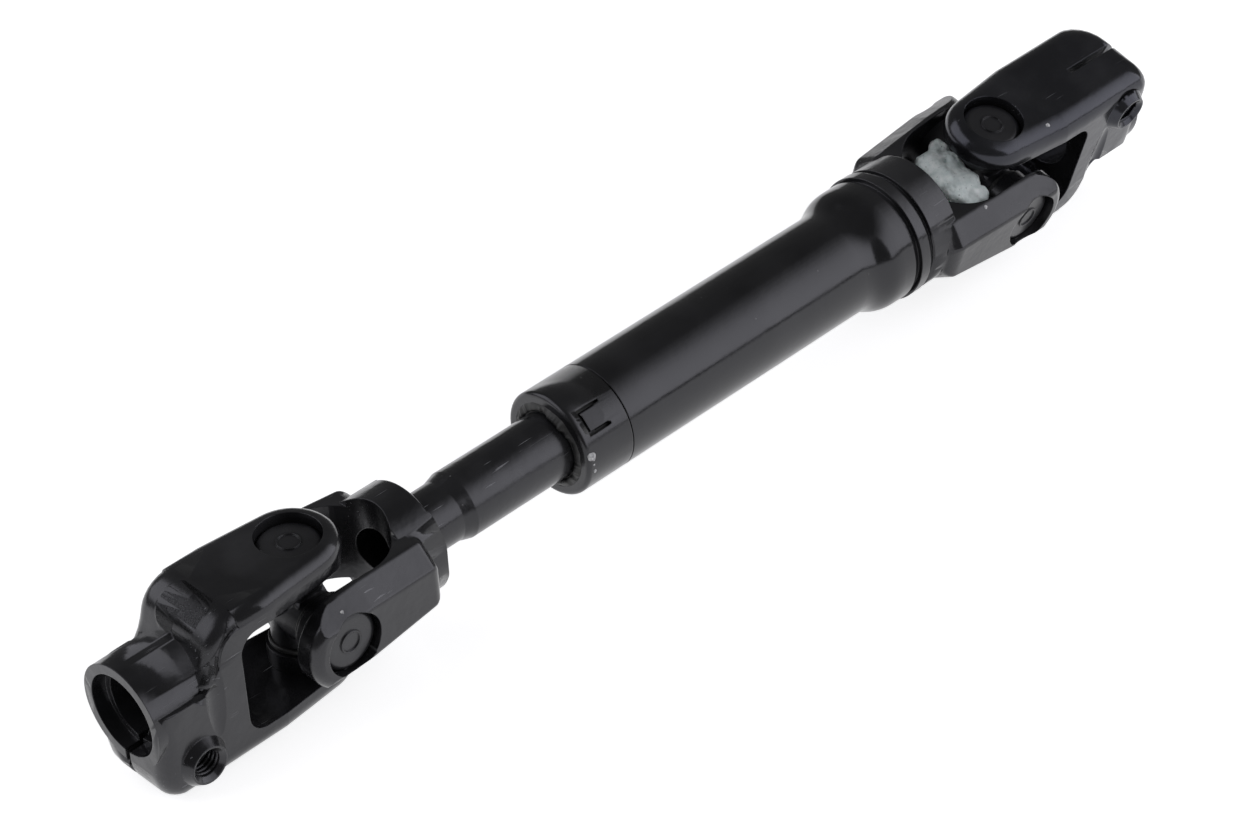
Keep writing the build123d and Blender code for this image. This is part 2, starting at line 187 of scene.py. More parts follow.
# %% Softboxes
OBJECT_MIDDLE = Vector((0, 0, 0.023))
LAMP_DISTANCE = 1.6
COOL_WHITE = (0.95, 0.95, 1.0)
RIGHT_AZIMUTH, RIGHT_WIDE, FIRST_STRIP, STRIP_TURN = -52, 2.2, 3.8, 6.1
FADE = (1.90, 1.90, 1.90, 1.85, 1.75, 1.60, 1.30, 0.90, 0.50, 0.20)
LEFT_AZIMUTH, LEFT_ELEVATION, LEFT_WIDE, LEFT_HIGH, LEFT_BRIGHT = 138, 36, 1.9, 1.3, 1.5


def softbox(name, azimuth, elevation, width, height, brightness):
    """A soft area lamp in a direction from the object, turned towards it."""
    data = bpy.data.lights.new(name, "AREA")
    data.shape = "RECTANGLE"
    data.size = width
    data.size_y = height
    data.color = COOL_WHITE
    data.energy = brightness * pi * width * height
    lamp = bpy.data.objects.new(name, data)
    bpy.context.scene.collection.objects.link(lamp)
    around, up = radians(azimuth), radians(elevation)
    direction = Vector((cos(around) * cos(up), sin(around) * cos(up), sin(up)))
    turn = (-direction).to_track_quat("-Z", "Y").to_matrix().to_4x4()
    lamp.matrix_world = Matrix.Translation(OBJECT_MIDDLE + direction * LAMP_DISTANCE) @ turn


strip_high = 2 * LAMP_DISTANCE * math.tan(radians(STRIP_TURN / 2))
for number, brightness in enumerate(FADE):
    elevation = FIRST_STRIP + STRIP_TURN * (number + 0.5)
    softbox(f"right_softbox_{number}", RIGHT_AZIMUTH, elevation, RIGHT_WIDE, strip_high, brightness)
softbox("left_softbox", LEFT_AZIMUTH, LEFT_ELEVATION, LEFT_WIDE, LEFT_HIGH, LEFT_BRIGHT)
print("lamps:", len(bpy.data.lights))

# %% [markdown]
# ## Gloss black paint
# The forgings, the shaft and the tube carry one coat of black enamel over steel. Fresh enamel
# is almost a mirror for a twentieth of the light, and three flaws make it look real:
# orange peel, a pattern of low waves about a millimetre long, dull patches where it was
# handled, and dust. All three come from noise in object coordinates, which stay with a
# piece when it moves. The helpers here make a noise, spread it onto a new range, join two
# values, blend two colours and turn a value into a bump.

# %% Helpers that shape noise
def noise_value(tree, coordinates, scale, detail=2.0, roughness=0.5):
    """A noise texture's value at a scale per metre."""
    texture = tree.nodes.new("ShaderNodeTexNoise")
    texture.inputs["Scale"].default_value = scale
    texture.inputs["Detail"].default_value = detail
    texture.inputs["Roughness"].default_value = roughness
    link(tree, coordinates, texture.inputs["Vector"])
    return texture.outputs["Fac"]


def ramp(tree, value, low, high, out_low=0.0, out_high=1.0):
    """Spread a value between two limits onto a new range, held at both ends."""
    node = tree.nodes.new("ShaderNodeMapRange")
    node.inputs["From Min"].default_value = low
    node.inputs["From Max"].default_value = high
    node.inputs["To Min"].default_value = out_low
    node.inputs["To Max"].default_value = out_high
    link(tree, value, node.inputs["Value"])
    return node.outputs["Result"]


def combine(tree, operation, first, second):
    """Join two values, or a value and a number, with a math operation."""
    node = tree.nodes.new("ShaderNodeMath")
    node.operation = operation
    for socket, value in zip(node.inputs, (first, second)):
        if isinstance(value, (int, float)):
            socket.default_value = value
        else:
            link(tree, value, socket)
    return node.outputs[0]


def mix_colour(tree, share, first, second):
    """Blend two colours, or sockets, by a share."""
    node = tree.nodes.new("ShaderNodeMix")
    node.data_type = "RGBA"
    link(tree, share, node.inputs[0])
    for socket, value in zip((node.inputs[6], node.inputs[7]), (first, second)):
        if isinstance(value, tuple):
            socket.default_value = (*value, 1)
        else:
            link(tree, value, socket)
    return node.outputs[2]


def bump(tree, height, depth, below=None):
    """A bump of a depth in metres, on top of another bump when one is given."""
    node = tree.nodes.new("ShaderNodeBump")
    node.inputs["Strength"].default_value = 1.0
    node.inputs["Distance"].default_value = depth
    link(tree, height, node.inputs["Height"])
    if below:
        link(tree, below, node.inputs["Normal"])
    return node.outputs["Normal"]


print("noise helpers:", [helper.__name__ for helper in (noise_value, ramp, combine, bump)])

# %% [markdown]
# The enamel is one function, and each kind of piece gets it with its own strengths. The
# forgings have more of a wave under the paint than the drawn tube. A bevel node bends the
# normal within four tenths of a millimetre of an edge, as paint rounds an edge off. Scales
# are in waves per metre, and depths in metres.

# %% The enamel
EDGE_ROUND = 0.0004
ENAMEL_IOR = 1.52
FILM, DUST, HANDLING, GRAIN, SCRATCHED = 55, 420, 38, 1500, 70
PEEL, PEEL_DEEP = 900, 0.000012
WAVE, WAVE_DEEP = 230, 0.00003
FORGE, FORGE_DEEP = 95, 0.00022
SCRATCH_TURN, SCRATCH_STRETCH = (0.2, 0.3, 0.65), (60, 1500, 1500)


def enamel(name, forged=0.0, dust=1.0, scratches=0.0, sheen=COOL_WHITE, base=0.0045, gloss=0.13):
    """Black enamel: forging waves, orange peel, handling marks, dust and scratches."""
    material, tree, output = new_material(name)
    place = tree.nodes.new("ShaderNodeTexCoord").outputs["Object"]
    shader = tree.nodes.new("ShaderNodeBsdfPrincipled")
    shader.inputs["IOR"].default_value = ENAMEL_IOR
    shader.inputs["Specular Tint"].default_value = (*sheen, 1)

    # Colour: nearly black, a little paler where a dry film of polish is left
    film = ramp(tree, noise_value(tree, place, FILM, 4), 0.42, 0.72)
    black, worn = (base, base, base * 1.1), (base * 3.2, base * 3.2, base * 3.4)
    colour = mix_colour(tree, film, black, worn)

    # Dust: one small round speck in a few of the cells of a Voronoi pattern
    cells = tree.nodes.new("ShaderNodeTexVoronoi")
    cells.inputs["Scale"].default_value = DUST
    link(tree, place, cells.inputs["Vector"])
    pick = tree.nodes.new("ShaderNodeSeparateColor")
    link(tree, cells.outputs["Color"], pick.inputs[0])
    rare = ramp(tree, pick.outputs[0], 0.955 - 0.01 * dust, 0.96, 0, 1)
    small = ramp(tree, cells.outputs["Distance"], 0.05, 0.11, 1, 0)
    speck = combine(tree, "MULTIPLY", rare, small)
    colour = mix_colour(tree, speck, colour, (0.10, 0.10, 0.10))

    # Roughness: gloss, with duller patches and a soft grain
    dull = ramp(tree, noise_value(tree, place, HANDLING, 3), 0.45, 0.75, gloss, gloss + 0.13)
    grain = ramp(tree, noise_value(tree, place, GRAIN, 2), 0.3, 0.7, 0, 0.035)
    roughness = combine(tree, "ADD", dull, grain)

    # Scratches: noise drawn out along the shaft, kept to a few patches
    if scratches:
        stretch = tree.nodes.new("ShaderNodeMapping")
        stretch.inputs["Rotation"].default_value = SCRATCH_TURN
        stretch.inputs["Scale"].default_value = SCRATCH_STRETCH
        link(tree, place, stretch.inputs["Vector"])
        lines = ramp(tree, noise_value(tree, stretch.outputs[0], 1, 1), 0.70, 0.73)
        patches = ramp(tree, noise_value(tree, place, SCRATCHED, 1), 0.55, 0.62)
        scratch = combine(tree, "MULTIPLY", lines, patches)
        scratch = combine(tree, "MULTIPLY", scratch, scratches)
        colour = mix_colour(tree, scratch, colour, (0.16, 0.16, 0.17))
        roughness = combine(tree, "ADD", roughness, combine(tree, "MULTIPLY", scratch, 0.3))

    # Normal: the round edge below, then orange peel, low waves and the forging's own skin
    soft_edge = tree.nodes.new("ShaderNodeBevel")
    soft_edge.samples = 4
    soft_edge.inputs["Radius"].default_value = EDGE_ROUND
    normal = soft_edge.outputs["Normal"]
    normal = bump(tree, noise_value(tree, place, PEEL, 2), PEEL_DEEP, normal)
    normal = bump(tree, noise_value(tree, place, WAVE, 1), WAVE_DEEP, normal)
    if forged:
        normal = bump(tree, noise_value(tree, place, FORGE, 3, 0.6), FORGE_DEEP * forged, normal)
    join_shader(tree, shader, output, colour, roughness, normal)
    return material


forged_enamel = enamel("forged_yoke_enamel", forged=1.0, scratches=1.0, base=0.008, gloss=0.14)
blue_enamel = enamel(
    "upper_clamp_enamel", forged=1.0, scratches=0.5, sheen=(0.84, 0.86, 1.0),
    base=0.006, gloss=0.15,
)
tube_enamel = enamel("tube_enamel", dust=0.4)
cap_enamel = enamel("cap_enamel", forged=0.25, dust=1.0, gloss=0.16)
cup_enamel = enamel("cup_enamel", forged=0.2, dust=0.6, base=0.009, gloss=0.27)
cross_enamel = enamel("cross_enamel", forged=0.8, dust=0.8, base=0.008, gloss=0.32)
print("enamels:", [material.name for material in bpy.data.materials if "enamel" in material.name])

# %% [markdown]
# ## Rubber and bright steel
# The seals are moulded rubber: black, without gloss, with a fine grain. The splined sleeve
# and the needles are ground steel, seen only when the pieces are apart, so their finish is
# a fine grain round the part.

# %% Rubber and steel
def rubber(name):
    """Moulded black rubber with a fine grain and a few pale smears."""
    material, tree, output = new_material(name)
    place = tree.nodes.new("ShaderNodeTexCoord").outputs["Object"]
    shader = tree.nodes.new("ShaderNodeBsdfPrincipled")
    smear = ramp(tree, noise_value(tree, place, 320, 4), 0.5, 0.75)
    colour = mix_colour(tree, smear, (0.011, 0.011, 0.011), (0.035, 0.035, 0.033))
    roughness = ramp(tree, noise_value(tree, place, 700, 3), 0.3, 0.7, 0.42, 0.62)
    normal = bump(tree, noise_value(tree, place, 1600, 3), 0.00004)
    normal = bump(tree, noise_value(tree, place, 420, 2), 0.00012, normal)
    join_shader(tree, shader, output, colour, roughness, normal)
    return material


def ground_steel(name):
    """Bright steel with grinding lines round the X axis."""
    material, tree, output = new_material(name)
    place = tree.nodes.new("ShaderNodeTexCoord").outputs["Object"]
    stretch = tree.nodes.new("ShaderNodeMapping")
    stretch.inputs["Scale"].default_value = (4000, 250, 250)
    link(tree, place, stretch.inputs["Vector"])
    lines = noise_value(tree, stretch.outputs[0], 1, 2)
    shader = tree.nodes.new("ShaderNodeBsdfPrincipled")
    shader.inputs["Metallic"].default_value = 1.0
    colour = mix_colour(tree, lines, (0.42, 0.42, 0.43), (0.6, 0.6, 0.61))
    roughness = ramp(tree, lines, 0.2, 0.8, 0.2, 0.42)
    join_shader(tree, shader, output, colour, roughness, bump(tree, lines, 0.000006))
    return material


seal_rubber = rubber("seal_rubber")
sleeve_steel = ground_steel("ground_steel")
print("rubber and steel:", seal_rubber.name, sleeve_steel.name)

# %% [markdown]
# Each CAD piece gets its finish by its name: a few by the whole name, and the cups, crosses,
# needles and seals by the word that says what kind of piece they are.

# %% Put the finishes on the CAD pieces
finish_of_node = {
    "lower_clamp_yoke": forged_enamel, "upper_clamp_yoke": blue_enamel,
    "slip_shaft_yoke": forged_enamel, "tube_yoke": forged_enamel, "outer_tube": tube_enamel,
    "end_cap": cap_enamel, "spline_sleeve": sleeve_steel,
}
finish_of_kind = {
    "cup": cup_enamel, "cross": cross_enamel, "needles": sleeve_steel, "seal": seal_rubber,
}
for name, node in nodes.items():
    kind = next((word for word in name.split("_") if word in finish_of_kind), "seal")
    finish = finish_of_node.get(name) or finish_of_kind[kind]
    node.data.materials.clear()
    node.data.materials.append(finish)
print("painted nodes:", len(nodes))

# %% [markdown]
# ## The forgings, with their edges worn round by the die
# The CAD yokes have the right arms, bores and windows, but their lugs and bases end in square
# corners, and a real forging has none. One way to round them is to bevel the mesh, but a
# mesh that came from solids is all long triangles, and a bevel tears it. The way here is a
# carpenter's: a copy of the yoke is the stock, and boolean cuts take the corners off. Each
# cutter is a plain block with the wanted rounded form taken out of it, so what the cut
# leaves has that form.
#
# All sizes below are in millimetres in the yoke's own frame, with the joint's centre at zero
# and the mouth towards X. A seat is the matrix that puts this frame in its place.

# %% Seats of the joints and the yokes
AXIS_HEIGHT, JOINT_STATION = 23.0429, 118
PHASE = radians(17)
MILLIMETRES = Matrix.Scale(MM, 4)
LOWER_JOINT = Matrix.Translation(Vector((-JOINT_STATION, 0, AXIS_HEIGHT)) * MM)
UPPER_JOINT = Matrix.Translation(Vector((JOINT_STATION, 0, AXIS_HEIGHT)) * MM)
UPPER_JOINT = UPPER_JOINT @ Matrix.Rotation(PHASE, 4, "X")
LOWER_CLAMP_SEAT = LOWER_JOINT @ Matrix.Rotation(pi, 4, "Z")
UPPER_CLAMP_SEAT = UPPER_JOINT @ Matrix.Rotation(pi, 4, "X")
TUBE_YOKE_SEAT = UPPER_JOINT @ Matrix.Rotation(pi, 4, "Z")
print("joints at", LOWER_JOINT.translation, "and", UPPER_JOINT.translation)

# %% [markdown]
# A solid is skinned over a row of rings, as a boat's hull over its frames. Blocks and round
# bars are the two simplest rows, and an outline with rounded corners serves for the rest.

# %% Solids from rings
BAR_SIDES = 96


def add_piece(name, form, material=None):
    """Turn a bmesh into a named object in the scene."""
    mesh = bpy.data.meshes.new(name)
    form.to_mesh(mesh)
    form.free()
    if material:
        mesh.materials.append(material)
    piece = bpy.data.objects.new(name, mesh)
    bpy.context.scene.collection.objects.link(piece)
    return piece


def rounded_outline(corners, steps=6):
    """Points of a closed outline, given as (x, y, radius) corners, with arcs at the corners."""
    points = []
    for index, (x, y, radius) in enumerate(corners):
        here = Vector((x, y))
        before = (Vector(corners[index - 1][:2]) - here).normalized()
        after = (Vector(corners[(index + 1) % len(corners)][:2]) - here).normalized()
        half = before.angle(after) / 2
        reach = radius / math.tan(half)
        middle = here + (before + after).normalized() * radius / sin(half)
        start, stop = here + before * reach - middle, here + after * reach - middle
        sweep = pi - 2 * half
        for step in range(steps + 1):
            share = step / steps
            a, b = sin((1 - share) * sweep) / sin(sweep), sin(share * sweep) / sin(sweep)
            points.append(middle + start * a + stop * b)
    return points


def skin(rings):
    """A closed solid over a row of rings with as many points each."""
    form = bmesh.new()
    rows = [[form.verts.new(point) for point in ring] for ring in rings]
    count = len(rows[0])
    for low, high in zip(rows, rows[1:]):
        for i in range(count):
            j = (i + 1) % count
            form.faces.new((low[i], low[j], high[j], high[i]))
    form.faces.new(rows[0][::-1])
    form.faces.new(rows[-1])
    bmesh.ops.recalc_face_normals(form, faces=form.faces)
    return form


def block(low, high):
    """A box between two corners, as a bmesh."""
    (x0, y0, z0), (x1, y1, z1) = low, high
    return skin([[(x0, y0, z), (x1, y0, z), (x1, y1, z), (x0, y1, z)] for z in (z0, z1)])


def round_bar(start, stop, radius):
    """A round bar along X between two stations."""
    turns = [2 * pi * side / BAR_SIDES for side in range(BAR_SIDES)]
    return skin([[(x, radius * cos(t), radius * sin(t)) for t in turns] for x in (start, stop)])


bar = round_bar(0, 1, 1)
print("a round bar has", len(bar.faces), "faces")
bar.free()

# %% [markdown]
# A boolean modifier cuts, joins or crosses two solids. It is applied at once, so that the
# next cut starts from a plain mesh. The stock is a welded copy of a CAD piece, because a
# boolean needs a closed skin, and the CAD mesh has seams between its faces.

# %% Stock and cuts
def applied(piece):
    """A new mesh of a piece with its modifiers applied."""
    finished = piece.evaluated_get(bpy.context.evaluated_depsgraph_get())
    return bpy.data.meshes.new_from_object(finished)


def boolean(piece, form, operation):
    """Cut, join or cross a piece with a bmesh, at once."""
    tool = add_piece("tool", form)
    tool.matrix_world = piece.matrix_world
    bpy.context.view_layer.update()
    cut = piece.modifiers.new("cut", "BOOLEAN")
    cut.object = tool
    cut.operation = operation
    cut.solver = "EXACT"
    old = piece.data
    piece.data = applied(piece)
    piece.modifiers.clear()
    bpy.data.meshes.remove(old)
    bpy.data.objects.remove(tool)


def as_form(piece):
    """Take a helper object apart into a bmesh again."""
    form = bmesh.new()
    form.from_mesh(piece.data)
    bpy.data.objects.remove(piece)
    return form


def stock_of(node_name, name, seat):
    """A copy of a node's mesh in its own frame, with its seams welded."""
    form = bmesh.new()
    form.from_mesh(nodes[node_name].data)
    form.transform(nodes[node_name].matrix_world)
    bmesh.ops.remove_doubles(form, verts=form.verts, dist=MM * MM)
    form.transform((seat @ MILLIMETRES).inverted())
    return add_piece(name, form)


print("stock and cuts:", boolean.__name__, as_form.__name__, stock_of.__name__)

# %% [markdown]
# A cut leaves long, thin triangles, and shading by their average makes stripes on gloss
# paint. There are three remedies. Corners that no cut has moved keep the normal of the CAD
# surface, found by their place. Corners on an added form take the normal of that form, found
# by the nearest point on it. Corners on a round collar point straight away from its axis.

# %% Smooth normals after the cuts
ALIKE, CLOSE, INWARD = 0.9, 0.03, 0.02


def corner_key(place):
    """A corner's place, rounded to a hundredth of a millimetre."""
    return tuple(round(axis / MM, 2) for axis in place)


def keep_cad_normals(mesh, node):
    """Corners that no cut has moved keep the smooth normals of the CAD surface."""
    source, known = node.data, {}
    for face in source.polygons:
        for corner in face.loop_indices:
            place = node.matrix_world @ source.vertices[source.loops[corner].vertex_index].co
            pair = (face.normal, source.corner_normals[corner].vector)
            known.setdefault(corner_key(place), []).append(pair)
    normals = [corner.vector.copy() for corner in mesh.corner_normals]
    for face in mesh.polygons:
        for corner in face.loop_indices:
            near = known.get(corner_key(mesh.vertices[mesh.loops[corner].vertex_index].co), ())
            alike = [(face.normal.dot(flat), smooth) for flat, smooth in near]
            best = max(alike, key=lambda pair: pair[0], default=(0, None))
            if best[0] > ALIKE:
                normals[corner] = best[1].copy()
    mesh.normals_split_custom_set(normals)


def follow_form(mesh, place, form, radius):
    """Corners on an added form or on a round collar take the true surface's normal."""
    form.transform(place)
    bmesh.ops.triangulate(form, faces=form.faces)
    form.normal_update()
    form.faces.ensure_lookup_table()
    tree, home, turn = BVHTree.FromBMesh(form), place.inverted(), place.to_quaternion()
    normals = [corner.vector.copy() for corner in mesh.corner_normals]
    for face in mesh.polygons:
        _, flat, _, away = tree.find_nearest(face.center)
        on_form = away < CLOSE * MM and flat.dot(face.normal) > ALIKE
        spots = [mesh.vertices[number].co for number in face.vertices]
        outward = [Vector((0, *(home @ spot).yz)) for spot in spots]
        round_face = all(abs(arm.length - radius) < CLOSE for arm in outward)
        for corner, spot, arm in zip(face.loop_indices, spots, outward):
            if on_form:
                near, _, number, _ = tree.find_nearest(spot.lerp(face.center, INWARD))
                verts = form.faces[number].verts
                places, smooth = [v.co for v in verts], [v.normal for v in verts]
                normals[corner] = barycentric_transform(near, *places, *smooth).normalized()
            elif round_face and face.normal.dot(turn @ arm.normalized()) > ALIKE:
                normals[corner] = turn @ arm.normalized()
    mesh.normals_split_custom_set(normals)
    form.free()


print("normals are alike when their product is over", ALIKE)

# %% [markdown]
# Each forging is finished the same way: it goes on its seat, gets smooth shading with sharp
# edges where its faces meet at more than a third of a right angle, and rides on its body in
# place of the CAD piece.

# %% Finish a forging
SHARP_FROM = radians(33)


def finish_forging(piece, seat, material, body, node_name):
    """Put a cut forging on its seat, smooth its faces and let it stand for its node."""
    form = bmesh.new()
    form.from_mesh(piece.data)
    form.transform(seat @ MILLIMETRES)
    bmesh.ops.remove_doubles(form, verts=form.verts, dist=MM * MM)
    form.to_mesh(piece.data)
    form.free()
    piece.data.materials.clear()
    piece.data.materials.append(material)
    piece.data.shade_smooth()
    piece.data.set_sharp_from_angle(angle=SHARP_FROM)
    even = piece.modifiers.new("even_faces", "WEIGHTED_NORMAL")
    even.mode = "FACE_AREA_WITH_ANGLE"
    even.keep_sharp = True
    rough = piece.data
    piece.data = applied(piece)
    piece.modifiers.clear()
    bpy.data.meshes.remove(rough)
    keep_cad_normals(piece.data, nodes[node_name])
    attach(piece, body)
    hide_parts(node_name)
    print(piece.name, "has", len(piece.data.polygons), "faces")


print("sharp from", round(math.degrees(SHARP_FROM)), "degrees")

# %% [markdown]
# ### Clamp yokes
# The lugs of a real clamp are round at the mouth: strongly on the side of the bolt's head,
# less on the threaded side, and the collar round the bore stands out of them as a ring. So
# the cutter is a block, less the rounded lug, less a bar as wide as the collar.

# %% Cutter for the lugs
MOUTH, HALF_WIDTH, EAR_REACH = 51.2, 13.6, 20.9
COLLAR_RADIUS, COLLAR_GAP = 13.2, 0.01
LUG_START, LUG_BACK = 26.0, 6.0
LUG_LEVELS = (0.01, 0.25, 0.7, 1.3, 2.2, 3.2, 4.4, 5.8, 7.2, 8.5, 12, 46)
HEAD_SIDE_ROUND, THREAD_SIDE_ROUND = 9.0, 4.4
FLANK_ROUND, MOUTH_ROUND, MOUTH_ROUND_HEIGHT = 4.8, 5.5, 8.5
SKIN_GAP = 0.02


def inset(height, full, extent):
    """How far an elliptical edge draws in at a height above the bottom."""
    return 0 if height >= full else extent * (1 - math.sqrt(1 - (1 - height / full) ** 2))


def lug_form():
    """The rounded lug end, as level outlines from the bottom up."""
    rings = []
    for height in LUG_LEVELS:
        side = HALF_WIDTH + SKIN_GAP - inset(height, FLANK_ROUND, FLANK_ROUND)
        end = MOUTH + SKIN_GAP - inset(height, MOUTH_ROUND_HEIGHT, MOUTH_ROUND)
        outline = rounded_outline((
            (LUG_BACK, -side, 1), (end, -side, HEAD_SIDE_ROUND),
            (end, side, THREAD_SIDE_ROUND), (LUG_BACK, side, 1),
        ))
        rings.append([(x, y, height - EAR_REACH - SKIN_GAP) for x, y in outline])
    return skin(rings)


def cutter_less(stock, *forms):
    """A cutter: a block, less some forms, less the collar, as a bmesh."""
    cutter = add_piece("cutter", stock)
    for form in (*forms, round_bar(LUG_START - 5, MOUTH + 9, COLLAR_RADIUS + COLLAR_GAP)):
        boolean(cutter, form, "DIFFERENCE")
    return as_form(cutter)


def lug_cutter():
    """The stock that comes off the lugs."""
    low, high = (LUG_START, -20, -EAR_REACH - 5), (MOUTH + 5, HALF_WIDTH + 0.005, 22)
    return cutter_less(block(low, high), lug_form())


print("the lug's outline has", len(LUG_LEVELS), "levels")

# %% [markdown]
# The wall between an arm and the lugs is steeper on the side of the bolt's head. A wedge
# cuts it. Over the bore, a broad slope runs from the arm down to the collar. It is one side
# view, repeated at rows across the yoke and drawn in towards both flanks.

# %% Cutters for the wall and the slope
WALL_TOP, WALL_FOOT, WALL_LEVEL, SHOULDER_SIDE = 25.6, 37.4, 5.25, 11.3
SLOPE_MIDDLE, SLOPE_BEND = (26.0, 11.7), 9.2
SLOPE_FOOT = [(35.55, 12.0), (36.6, 9.4), (38.0, 7.1), (39.8, 5.35)]
SLOPE_ROWS = (
    (12.95, 3.2), (12.7, 2.2), (12.2, 1.3), (11.4, 0.6), (10.4, 0.15), (9.4, 0.0), (0.0, 0.0),
)
SLOPE_CENTRE, SLOPE_START = Vector((22.0, 0, 4.0)), (22.0, 20.88)
SLOPE_BASE = ((28.5, 5.35), (28.5, 16.2), (22.0, 16.2))
CUTTER_BASE, CUTTER_FLANK = ((18.0, 3.0), (18.0, 16.2), (20.0, 16.2)), (16.0, 3.3)


def wall_cutter():
    """A wedge that makes the wall on the head's side steeper than its twin."""
    top, end = EAR_REACH + 1, MOUTH + 1
    side_view = [(WALL_TOP, top), (WALL_FOOT, WALL_LEVEL), (end, WALL_LEVEL), (end, top)]
    rows = (-HALF_WIDTH - 1, -SHOULDER_SIDE)
    return cutter_less(skin([[(x, y, z) for x, z in side_view] for y in rows]))


def slope_view():
    """The slope's side view: a round bend and a hollow foot."""
    points = [SLOPE_START]
    for turn in range(90, 10, -10):
        x, z = SLOPE_MIDDLE
        across, up = SLOPE_BEND * cos(radians(turn)), SLOPE_BEND * sin(radians(turn))
        points.append((x + across, z + up))
    return points + SLOPE_FOOT


def slope_form(base, *over):
    """A broad slope over the clamp bore: one side view, drawn in at both flanks."""
    rows = [*over, *SLOPE_ROWS]
    rows += [(-y, draw) for y, draw in rows[-2::-1]]
    rings = []
    for y, draw in rows:
        ring = [Vector((x, y, z)) for x, z in base]
        for x, z in slope_view():
            point = Vector((x, 0, z))
            point += (SLOPE_CENTRE - point).normalized() * draw
            ring.append(Vector((point.x, y, point.z)))
        rings.append(ring)
    return skin(rings)


def slope_cutter():
    """What comes off in front of the broad slope."""
    side = HALF_WIDTH + 1
    stock = block((LUG_START + 0.1, -side, WALL_LEVEL), (MOUTH + 5, side, EAR_REACH + 1))
    return cutter_less(stock, slope_form(CUTTER_BASE, CUTTER_FLANK))


print("the slope's side view has", len(slope_view()), "points")

# %% [markdown]
# Both clamp yokes are the same forging, so the same cuts serve both. The slope is joined on
# after the cuts, and a bar then clears the bore below it.

# %% Cut both clamp yokes
BORE_START, BORE_STOP, BORE_RADIUS = 27.0, 40.0, 9.05
CLAMPS = (
    ("lower", LOWER_CLAMP_SEAT, forged_enamel),
    ("upper", UPPER_CLAMP_SEAT, blue_enamel),
)

for place, seat, material in CLAMPS:
    forging = stock_of(f"{place}_clamp_yoke", f"{place}_clamp_forging", seat)
    boolean(forging, lug_cutter(), "DIFFERENCE")
    boolean(forging, wall_cutter(), "DIFFERENCE")
    boolean(forging, slope_cutter(), "DIFFERENCE")
    boolean(forging, slope_form(SLOPE_BASE), "UNION")
    boolean(forging, round_bar(BORE_START, BORE_STOP, BORE_RADIUS), "DIFFERENCE")
    finish_forging(forging, seat, material, f"{place}_clamp_body", f"{place}_clamp_yoke")
    follow_form(forging.data, seat @ MILLIMETRES, slope_form(SLOPE_BASE), COLLAR_RADIUS)

# %% [markdown]
# ### Fork yokes
# The forks' arms are pads that end round, close behind the round base, and they get a little
# lower towards it. The stock is the CAD fork with a bar of metal added along each arm. The
# form that is left is a row of sections along the arm, each an octagon with soft corners.

# %% Cutters for the forks
ARM_HEIGHT, ARM_BEVEL, BEVEL_SOFT = 12.0, 5.2, 1.6
ARM_TAPER, ARM_LOW, LOW_START = 1.5, 1.6, 6.0
ARM_BACK, EAR_BACK = -14.0, -15.0
ROUND_STEPS = 8
EAR_ROUND, EAR_SPAN = 3.2, 26


def fork_form(face_run, end, end_round):
    """The arms' outer form: sections along X up to a round end."""
    stations = []
    for x in (ARM_BACK, 0.0, LOW_START, 10.0, 15.0, end - end_round):
        drop = ARM_LOW * max(0, x - LOW_START) / (end - LOW_START)
        draw = ARM_TAPER * max(0, x) / face_run
        stations.append((x, EAR_REACH - draw - SKIN_GAP, ARM_HEIGHT - drop - SKIN_GAP))
    x, wide, tall = stations[-1]
    for step in range(1, ROUND_STEPS + 1):
        turn = pi / 2 * step / ROUND_STEPS
        draw = end_round * (1 - cos(turn))
        stations.append((x + end_round * sin(turn), wide - draw, tall - draw))
    rings = []
    for x, wide, tall in stations:
        octagon = []
        for sy, sz in ((1, 1), (-1, 1), (-1, -1), (1, -1)):
            pair = [(sy * wide, sz * (tall - ARM_BEVEL)), (sy * (wide - ARM_BEVEL), sz * tall)]
            octagon += pair if sy * sz > 0 else pair[::-1]
        section = rounded_outline([(y, z, BEVEL_SOFT) for y, z in octagon], 4)
        rings.append([(x, y, z) for y, z in section])
    return skin(rings)


def ear_form():
    """Both ears' outer form: discs about Y with a rounded rim."""
    rows = []
    for step in range(ROUND_STEPS + 1):
        turn = pi / 2 * step / ROUND_STEPS
        y = EAR_REACH + 0.05 - EAR_ROUND * (1 - cos(turn))
        rows.append((y, ARM_HEIGHT + 0.02 - EAR_ROUND * (1 - sin(turn))))
    rows += [(-y, r) for y, r in rows[::-1]]
    turns = [2 * pi * side / BAR_SIDES for side in range(BAR_SIDES)]
    return skin([[(r * cos(t), y, r * sin(t)) for t in turns] for y, r in rows])


def fork_cutter(start, stop, *forms):
    """A block about a fork, less the forms that stay, as a bmesh."""
    cutter = add_piece("cutter", block((start, -EAR_SPAN, -EAR_SPAN), (stop, EAR_SPAN, EAR_SPAN)))
    for form in forms:
        boolean(cutter, form, "DIFFERENCE")
    return as_form(cutter)


ears = ear_form()
print("the ears' form has", len(ears.faces), "faces")
ears.free()

# %% [markdown]
# Both forks are shaped alike, from their own sizes: how far an arm's face runs, the round
# base behind it, and where the pad ends. The bars of added metal come first.

# %% Shape both forks
PAD_INNER, PAD_START, PAD_HALF = 15.7, 17, ARM_HEIGHT - 1.2
FORKS = (
    ("slip_shaft_yoke", "slip_shaft_forging", LOWER_JOINT, "shaft_body"),
    ("tube_yoke", "tube_yoke_forging", TUBE_YOKE_SEAT, "tube_body"),
)
# face run, base length, base radius, base run, pad end, round of the pad end
FORK_SIZES = ((23.3, 34.3, 14.8, 11.0, 28.6, 3.2), (26.0, 35.0, 17.1, 9.0, 30.5, 4.2))

